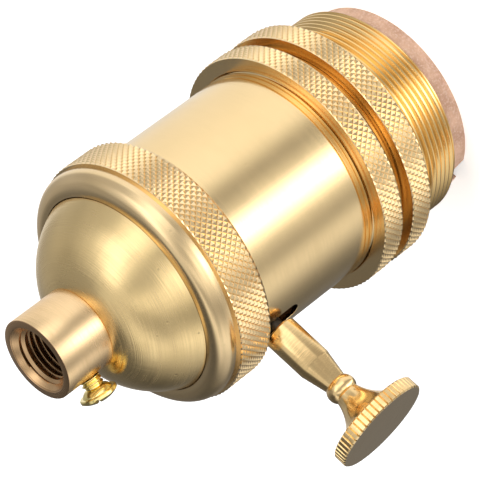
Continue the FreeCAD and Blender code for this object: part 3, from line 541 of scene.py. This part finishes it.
def arcPoints(start, end, radius, count, side=1):
    # points on the round sweep from start to end, its centre on the given side of the way there
    run, rise = end[0] - start[0], end[1] - start[1]
    chord = math.hypot(run, rise)
    height = math.sqrt(radius * radius - chord * chord / 4)
    centre = Vector(((start[0] + end[0]) / 2 - side * height * rise / chord,
                     (start[1] + end[1]) / 2 + side * height * run / chord))
    first, last = Vector(start) - centre, Vector(end) - centre
    turn = first.angle_signed(last)
    spots = []
    for step in range(count + 1):
        spoke = first.copy()
        spoke.rotate(Matrix.Rotation(-turn * step / count, 2))
        spots.append(tuple(centre + spoke))
    return spots


def makeRingNut(look):
    low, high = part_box("ring_nut")
    top, bottom, radius = high.z / mm, low.z / mm, high.x / mm
    shoulderEnd = top - look["shoulderHeight"]
    bandTop = shoulderEnd - look["step"]
    bm = bmesh.new()
    sweep = arcPoints((look["lip"] + look["lipThick"], top), (look["shoulder"], shoulderEnd), look["curve"], 14, -1)
    edge, bevel = look["edge"], look["bevel"]
    band = bandTop - bottom - edge - bevel
    lathe(bm, [(look["bore"], bottom), (look["bore"], -look["flange"]), (look["lip"], -look["flange"]),
               (look["lip"], top)] + sweep + [(look["shoulder"], bandTop), (radius - edge, bandTop)]
          + bandPoints(radius, bandTop - edge, band, look["rows"])
          + [(radius - bevel, bottom)], 2 * look["count"])
    addKnurl(bm, radius, bandTop - edge, band, look["rows"], look["count"], look["depth"], look["peak"])
    finishPiece("ringNut", bm, "holder", metals["nutBrass"], ["ring_nut"], 24)


makeRingNut(nutSizes)
print("ring nut made")


# barrel: the plain tube ends at the joint, and the turned lines and the thread follow below it
barrelSizes = {"inside": 17.6, "bevel": 0.3, "joint": -50.0, "lineDepth": 0.24, "lineWidth": 0.35, "linePitch": 1.0,
               "relief": 18.42, "pitch": 1.05, "root": 18.5, "threadTop": -55.9, "threadEnd": -76.15,
               "rises": (0.16, 0.46, 0.66), "lineSlope": 0.08, "runoutTop": 0.35, "runoutEnd": 0.2, "steps": 240,
               "slot": 3.6, "slotEnd": -38.85, "slotBevel": 0.16, "spare": 3}


def stadiumCutter(width, top, bottom, near, far):
    # a tall slot with round ends, standing out along +X
    cutter = bmesh.new()
    half = width / 2
    bmesh.ops.create_circle(cutter, cap_ends=True, segments=44, radius=half * mm,
                            matrix=Matrix.Rotation(math.pi / 44, 4, "Z"))
    for vert in cutter.verts:
        vert.co.y += (top - half if vert.co.y > 0 else bottom + half) * mm
    grown = bmesh.ops.extrude_face_region(cutter, geom=cutter.faces[:])
    moved = [v for v in grown["geom"] if isinstance(v, bmesh.types.BMVert)]
    bmesh.ops.translate(cutter, verts=moved, vec=(0, 0, (far - near) * mm))
    turn = Matrix(((0, 0, 1), (1, 0, 0), (0, 1, 0))).to_4x4()
    bmesh.ops.transform(cutter, matrix=Matrix.Translation((near * mm, 0, 0)) @ turn, verts=cutter.verts)
    return cutter


def bevelSlot(bm, look, radius, top):
    # rounds the slot's outer edge
    half = look["slot"] / 2 * mm + 2e-6
    lip = []
    for edge in bm.edges:
        middle = (edge.verts[0].co + edge.verts[1].co) / 2
        onWall = all(abs(v.co.xy.length / mm - radius) < 0.02 for v in edge.verts)
        if onWall and middle.x > 0 and abs(middle.y) < half and len(edge.link_faces) == 2:
            inReach = (look["joint"] + 1) * mm < middle.z < (top - 2 * look["bevel"]) * mm
            if edge.calc_face_angle(0) > 0.9 and inReach:
                lip.append(edge)
    bmesh.ops.bevel(bm, geom=lip, offset=look["slotBevel"] * mm, offset_type="OFFSET", segments=2,
                    profile=0.5, affect="EDGES", material=-1)
    print("slot edges rounded:", len(lip))


def makeBarrel(look):
    low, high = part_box("barrel")
    top, bottom, radius = high.z / mm, low.z / mm, high.x / mm
    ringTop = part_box("shade_ring_upper")[1].z / mm
    bevel, joint, inside = look["bevel"], look["joint"], look["inside"]
    bm = bmesh.new()
    lathe(bm, [(inside, joint), (inside, top), (radius - bevel, top), (radius, top - bevel), (radius, joint)],
          look["steps"])
    spare = look["spare"]
    cutAway(bm, stadiumCutter(look["slot"], top + spare, look["slotEnd"], inside - spare, radius + spare))
    bevelSlot(bm, look, radius, top)
    dropCap(bm, joint)
    turn = threadTurn(look["root"], radius, look["rises"])
    helixSkin(bm, turn, look["pitch"], look["threadEnd"], look["threadTop"], look["steps"])
    lathe(bm, [(look["relief"], look["threadEnd"]), (look["relief"], bottom + bevel),
               (look["relief"] - bevel, bottom), (inside, bottom), (inside, joint)], look["steps"], closed=False)
    outside = [(radius, joint)]
    for count in (2, 1):
        line, floor = ringTop + count * look["linePitch"], radius - look["lineDepth"]
        outside += [(radius, line), (floor, line - look["lineSlope"]),
                    (floor, line - look["lineWidth"] + look["lineSlope"]), (radius, line - look["lineWidth"])]
    outside += [(radius, look["threadTop"] + look["runoutTop"]),
                (look["relief"], look["threadTop"] + look["runoutEnd"]), (look["relief"], look["threadTop"])]
    lathe(bm, outside, look["steps"], closed=False)
    bmesh.ops.remove_doubles(bm, verts=bm.verts, dist=1e-7)
    closeRings(bm, look["threadTop"], look["threadEnd"])
    print("barrel open edges:", sum(e.is_boundary for e in bm.edges))
    finishPiece("barrelTube", bm, "holder", metals["barrelBrass"], ["barrel"], 12)


makeBarrel(barrelSizes)
print("barrel made")


# neck with its inner thread: heights run down from its mouth
neckSizes = {"radius": 7.05, "bevel": 0.15, "crest": 4.45, "root": 4.98, "pitch": 1.0, "mouth": 5.75, "lead": 1.5,
             "rises": (0.14, 0.5, 0.64), "lip": 0.12, "endLap": 0.3, "seatBevel": 0.1, "seat": -9.3, "spigot": 6.0,
             "inside": -10.2, "peened": 6.9, "end": -10.8, "steps": 120, "screwDepth": -6.3, "screwHole": 1.85,
             "screwAzimuth": -34.0}


def makeNeck(look):
    bm = bmesh.new()
    turn = threadTurn(look["crest"], look["root"], look["rises"])
    lowEnd = look["end"] + look["endLap"]
    helixSkin(bm, turn, look["pitch"], lowEnd, -look["lip"], look["steps"])
    for vert in bm.verts:
        # the countersink at the mouth cuts the first turns back to a cone
        cone = look["mouth"] + (vert.co.z / mm) * (look["mouth"] - look["crest"]) / look["lead"]
        radius = vert.co.xy.length / mm
        if radius < cone:
            vert.co.x *= cone / radius
            vert.co.y *= cone / radius
    outer = look["radius"]
    lathe(bm, [(look["mouth"], -look["lip"]), (look["mouth"] + look["lip"], 0), (outer - look["bevel"], 0),
               (outer - look["bevel"] * 0.3, -look["bevel"] * 0.3), (outer, -look["bevel"]),
               (outer, look["seat"] + look["seatBevel"]), (outer - look["seatBevel"], look["seat"]),
               (look["spigot"], look["seat"]),
               (look["spigot"], look["inside"]), (look["peened"], look["inside"]), (look["peened"], look["end"]),
               (look["root"] + 0.2, look["end"]), (look["root"] + 0.05, lowEnd)], look["steps"], closed=False)
    closeRings(bm, -look["lip"], lowEnd)
    print("neck open edges:", sum(e.is_boundary for e in bm.edges))
    drill = bmesh.new()
    bmesh.ops.create_cone(drill, cap_ends=True, segments=48, radius1=look["screwHole"] * mm,
                          radius2=look["screwHole"] * mm, depth=8 * mm)
    azimuth = math.radians(look["screwAzimuth"])
    aim = Matrix.Rotation(azimuth, 4, "Z") @ Matrix.Rotation(math.pi / 2, 4, "Y")
    out = Vector((math.cos(azimuth), math.sin(azimuth), 0)) * 6.5 * mm
    place = Matrix.Translation(out + Vector((0, 0, look["screwDepth"] * mm)))
    bmesh.ops.transform(drill, matrix=place @ aim, verts=drill.verts)
    cutAway(bm, drill)
    finishPiece("neckTube", bm, "holder", metals["neckBrass"], ["neck_bush"], 28)


makeNeck(neckSizes)
print("neck made")


# set screw: measured along its own axis, outwards from the middle of the neck
screwSizes = {"azimuth": -34.0, "depth": -6.3, "tip": 5.5, "seat": 8.75, "flange": 9.75, "boss": 2.55, "rim": 10.35,
              "crown": 11.15, "shank": 1.75, "root": 1.42, "pitch": 0.7, "rises": (0.1, 0.5, 0.62), "head": 3.15,
              "slot": 0.75, "slotDepth": 1.0, "slotTurn": 0.75, "slotLength": 8.0, "steps": 72}


def cutCross(bm, look):
    # two driver slots right across the head, square to each other
    for turnBy in (look["slotTurn"], look["slotTurn"] + math.pi / 2):
        slot = bmesh.new()
        bmesh.ops.create_cube(slot, size=1.0)
        bmesh.ops.scale(slot, vec=(look["slotLength"] * mm, look["slot"] * mm, 4 * mm), verts=slot.verts)
        middle = look["crown"] - look["slotDepth"] + 2  # half the cutter's height above the slot's floor
        move = Matrix.Translation((0, 0, middle * mm)) @ Matrix.Rotation(turnBy, 4, "Z")
        bmesh.ops.transform(slot, matrix=move, verts=slot.verts)
        cutAway(bm, slot)


def makeSetScrew(look):
    bm = bmesh.new()
    head, neck = look["head"], look["root"] - 0.05
    threadLow, threadHigh = look["tip"] + 0.4, look["seat"] - 0.25
    dome = arcPoints((head, look["rim"]), (head * 0.3, look["crown"]), 3.4, 8, 1)
    boss = arcPoints((neck, look["seat"]), (look["boss"], look["flange"]), 1.7, 8, 1)
    lathe(bm, [(0, look["seat"])] + boss + [(head - 0.15, look["flange"]), (head, look["flange"] + 0.15),
               (head, look["rim"] - 0.1)] + dome + [(0, look["crown"])], look["steps"], closed=False)
    bmesh.ops.remove_doubles(bm, verts=bm.verts, dist=1e-7)
    cutCross(bm, look)
    dropCap(bm, look["seat"], 0.0, neck * mm)
    turn = threadTurn(look["root"], look["shank"], look["rises"])
    helixSkin(bm, turn, look["pitch"], threadLow, threadHigh, look["steps"])
    lathe(bm, [(0, look["tip"]), (look["root"] - 0.35, look["tip"]), (look["root"] - 0.1, threadLow)],
          look["steps"], closed=False)
    lathe(bm, [(neck, threadHigh), (neck, look["seat"])], look["steps"], closed=False)
    bmesh.ops.remove_doubles(bm, verts=bm.verts, dist=1e-7)
    closeRings(bm, threadLow, threadHigh)
    print("screw open edges:", sum(e.is_boundary for e in bm.edges))
    azimuth = math.radians(look["azimuth"])
    aim = Matrix.Rotation(azimuth, 4, "Z") @ Matrix.Rotation(math.pi / 2, 4, "Y")
    bmesh.ops.transform(bm, matrix=Matrix.Translation((0, 0, look["depth"] * mm)) @ aim, verts=bm.verts)
    finishPiece("clampScrew", bm, "neck_screw", metals["screwPlating"], ["set_screw"], 30)


makeSetScrew(screwSizes)
print("set screw made")


# lamp shell: a round thread that fades into a plain collar at both ends
shellSizes = {"crest": 12.25, "root": 13.3, "pitch": 3.629, "wall": 0.35, "plate": 0.35, "hole": 6.5,
              "steps": 144, "fade": 2.6, "collar": 12.9}


def makeLampShell(look):
    low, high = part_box("screw_shell")
    top, bottom = high.z / mm, low.z / mm
    middle = (look["crest"] + look["root"]) / 2
    swing = (look["root"] - look["crest"]) / 2
    turn = [(middle + swing * math.cos(math.tau * part / 12), part / 12) for part in range(12)]
    bm = bmesh.new()
    skinTop, skinEnd = top - look["plate"] - 0.2, bottom + 0.7
    helixSkin(bm, turn, look["pitch"], skinEnd, skinTop, look["steps"])
    for vert in bm.verts:
        height = vert.co.z / mm
        near = min(max(min(skinTop - height, height - skinEnd) / look["fade"], 0), 1)
        near = near * near * (3 - 2 * near)
        radius = vert.co.xy.length / mm
        wanted = look["collar"] + (radius - look["collar"]) * near
        vert.co.x *= wanted / radius
        vert.co.y *= wanted / radius
    lathe(bm, [(look["collar"] + 0.05, skinEnd), (look["collar"] + 0.05, bottom + 0.45),
               (look["collar"] + 0.45, bottom)], look["steps"], closed=False)
    lathe(bm, [(look["hole"], top - look["plate"]), (look["collar"] - 0.3, top - look["plate"]),
               (look["collar"] - 0.05, skinTop)], look["steps"], closed=False)
    closeRings(bm, skinEnd, skinTop)
    bmesh.ops.remove_doubles(bm, verts=bm.verts, dist=1e-7)
    bmesh.ops.recalc_face_normals(bm, faces=bm.faces)
    if sum((f.calc_center_median().xy.dot(f.normal.xy) for f in bm.faces)) < 0:
        bmesh.ops.reverse_faces(bm, faces=bm.faces)
    piece = finishPiece("lampShell", bm, "holder", metals["shellBrass"], ["screw_shell"], 40)
    sheet = piece.modifiers.new("sheet", "SOLIDIFY")
    sheet.thickness = look["wall"] * mm
    sheet.offset = 1.0


makeLampShell(shellSizes)
print("lamp shell made")


# switch knob: measured along +X from the middle of the holder
knobSizes = {"start": 20.2, "base": 2.925, "sleeveEnd": 28.3, "sleeve": 2.85, "coneEnd": 32.4, "cone": 2.0,
             "beadMiddle": 33.7, "bead": 2.55, "beadEnd": 35.0, "beadCurve": 1.872, "waist": 2.1, "flare": 6.1,
             "flareCurve": 8.0, "back": 40.25, "face": 42.6, "disc": 8.35, "bevel": 0.22, "teeth": 54, "parts": 6,
             "depth": 0.3, "bore": 1.55, "boreEnd": 30.0, "axis": -33.35}


def makeKnob(look):
    # turned about Z and then laid along X: some steps to a tooth, and the first of them sinks
    bm = bmesh.new()
    disc, bevel, back, face = look["disc"], look["bevel"], look["back"], look["face"]
    bead = arcPoints((look["cone"], look["coneEnd"]), (look["bead"], look["beadMiddle"]), look["beadCurve"], 8)
    fall = arcPoints((look["bead"], look["beadMiddle"]), (look["waist"], look["beadEnd"]), look["beadCurve"], 8)
    flare = arcPoints((look["waist"], look["beadEnd"]), (look["flare"], back), look["flareCurve"], 16, -1)
    lathe(bm, [(0, look["boreEnd"]), (look["bore"], look["boreEnd"]), (look["bore"], look["start"]),
               (look["base"] - 0.3, look["start"]), (look["base"], look["start"] + 0.3),
               (look["sleeve"] + 0.04, look["sleeveEnd"] - 0.3), (look["sleeve"] - 0.05, look["sleeveEnd"])]
          + bead + fall[1:] + flare[1:]
          + [(disc - bevel, back), (disc, back + bevel), (disc, face - bevel), (disc - bevel, face), (0, face)],
          look["parts"] * look["teeth"], closed=False)
    bmesh.ops.remove_doubles(bm, verts=bm.verts, dist=1e-7)
    for vert in bm.verts:
        radius = vert.co.xy.length / mm
        step = round(math.atan2(vert.co.y, vert.co.x) / math.tau * look["parts"] * look["teeth"])
        if radius > disc - 0.01 and step % look["parts"] == 0:
            vert.co.x *= (disc - look["depth"]) / radius
            vert.co.y *= (disc - look["depth"]) / radius
    lay = Matrix.Translation((0, 0, look["axis"] * mm)) @ Matrix(((0, 0, 1), (0, 1, 0), (-1, 0, 0))).to_4x4()
    bmesh.ops.transform(bm, matrix=lay, verts=bm.verts)
    print("knob open edges:", sum(e.is_boundary for e in bm.edges))
    finishPiece("turnedKnob", bm, "knob", metals["knobBrass"], ["switch_knob"], 24)


makeKnob(knobSizes)
print("knob made")


# camera: place in millimetres
cameraLook = {
    "lens": 224.3, "sensor": 36.0, "place": (139.465, 383.803, 206.543),
    "right": (0.70591, 0.19120, -0.68201), "up": (-0.64907, 0.56007, -0.51481),
}
addCamera(cameraLook)

lampLooks = {
    "keyLamp": {"place": (-0.5, 0.9, 0.9), "width": 0.8, "watts": 7.0, "tint": (1.0, 0.99, 0.97)},
    "fillLamp": {"place": (0.9, 0.5, 0.5), "width": 1.0, "watts": 3.0, "tint": (1.0, 1.0, 1.0)},
    "backLamp": {"place": (-0.6, -0.9, 0.7), "width": 1.0, "watts": 3.0, "tint": (0.97, 0.99, 1.0)},
}
for label, look in lampLooks.items():
    addLamp(label, look["place"], (0, 0, -0.04), look["width"], look["watts"], look["tint"])


floorLook = {"reach": 4.0, "colour": (0.9, 0.9, 0.9), "rough": 0.9, "glow": 0.4}


def makeFloor(look):
    bm = bmesh.new()
    bmesh.ops.create_grid(bm, x_segments=1, y_segments=1, size=look["reach"])
    bmesh.ops.translate(bm, verts=bm.verts, vec=(0, 0, cadLow.z))
    mesh = bpy.data.meshes.new("floor")
    bm.to_mesh(mesh)
    bm.free()
    floor = bpy.data.objects.new("floor", mesh)
    bpy.context.collection.objects.link(floor)
    material, tree, shader = newMaterial("paleFloor", look["colour"], look["rough"])
    path = tree.nodes.new("ShaderNodeLightPath")
    shader.inputs["Emission Color"].default_value = (1, 1, 1, 1)
    glow = mathNode(tree, "MULTIPLY", path.outputs["Is Camera Ray"], look["glow"])
    tree.links.new(glow, shader.inputs["Emission Strength"])
    floor.data.materials.append(material)
    floor.visible_glossy = False


# light and dark panels round the object, in three rings: (turn in degrees from +X, brightness)
lowPanels = [(-180, 1.0), (-120, 0.83), (-108, 0.5), (-96, 0.21), (-70, 0.18), (-60, 0.16), (-50, 0.21), (-40, 0.29),
             (-30, 0.49), (-20, 0.73), (-10, 0.88), (0, 0.74), (10, 0.46), (20, 0.58), (30, 0.91), (40, 2.0),
             (50, 3.7), (60, 2.6), (70, 0.95), (80, 0.6), (90, 0.43), (100, 0.75), (111, 1.14), (180, 1.0)]
middlePanels = [(-180, 0.43), (-158, 0.51), (-143, 0.43), (-127, 0.41), (-109, 0.19), (-90, 0.13), (-77, 0.08),
                (-62, 0.18), (-46, 0.46), (-30, 0.74), (-13, 1.14), (4, 0.51), (22, 0.5), (41, 1.37), (52, 1.74),
                (64, 1.17), (79, 0.44), (90, 0.89), (100, 1.58), (112, 1.65), (134, 0.75), (152, 0.57), (169, 0.53),
                (180, 0.43)]
highPanels = [(-180, 0.5), (-168, 0.33), (-150, 0.36), (-130, 0.25), (-109, 0.14), (-76, 0.11), (-62, 0.25),
              (-50, 0.62), (-38, 0.95), (-24, 0.99), (-10, 0.51), (8, 0.38), (20, 0.58), (31, 1.13), (45, 1.15),
              (60, 0.59), (80, 0.55), (98, 1.12), (112, 1.9), (130, 1.69), (148, 0.95), (158, 0.71), (168, 0.63),
              (180, 0.5)]


# rings blend between two heights of the view's direction; a ramp holds no level above one, so levels are
# stored as parts of the peak
worldLook = {"peak": 4.0, "lowToMiddle": (-0.32, -0.1), "middleToHigh": (0.35, 0.62), "highToTop": (0.93, 0.99),
             "top": (0.75, 0.75, 0.75), "daylight": (0.75, 0.75, 0.75), "backdrop": (1.0, 1.0, 1.0)}


def panelRamp(tree, turn, panels, peak):
    ramp = tree.nodes.new("ShaderNodeValToRGB")
    ramp.color_ramp.interpolation = "CARDINAL"
    stops = ramp.color_ramp.elements
    while len(stops) < len(panels):
        stops.new(0.5)
    for stop, (degrees, level) in zip(stops, panels):
        stop.position = degrees / 360 + 0.5
        stop.color = (level / peak, level / peak, level / peak, 1.0)
    tree.links.new(turn, ramp.inputs[0])
    return mathNode(tree, "MULTIPLY", ramp.outputs[0], peak)


def makeWorld(look):
    world = bpy.data.worlds.new("studio")
    bpy.context.scene.world = world
    world.use_nodes = True
    tree = world.node_tree
    background = tree.nodes["Background"]
    direction = tree.nodes.new("ShaderNodeTexCoord").outputs["Generated"]
    apart = tree.nodes.new("ShaderNodeSeparateXYZ")
    tree.links.new(direction, apart.inputs[0])
    angle = mathNode(tree, "ARCTAN2", apart.outputs[1], apart.outputs[0])
    turn = mathNode(tree, "MULTIPLY_ADD", angle, 1 / math.tau, 0.5)
    rings = [panelRamp(tree, turn, ring, look["peak"]) for ring in (lowPanels, middlePanels, highPanels)]
    panels, height = rings[0], apart.outputs[2]
    for blend, above in (("lowToMiddle", rings[1]), ("middleToHigh", rings[2]), ("highToTop", look["top"])):
        panels = mixColour(tree, rangeNode(tree, height, *look[blend]), panels, above)
    path = tree.nodes.new("ShaderNodeLightPath")
    lit = mixColour(tree, path.outputs["Is Glossy Ray"], look["daylight"], panels)
    seen = mathNode(tree, "MAXIMUM", path.outputs["Is Camera Ray"], path.outputs["Is Transmission Ray"])
    tree.links.new(mixColour(tree, seen, lit, look["backdrop"]), background.inputs["Color"])


makeFloor(floorLook)
makeWorld(worldLook)
bpy.context.scene.view_settings.view_transform = "Standard"
print("studio made")
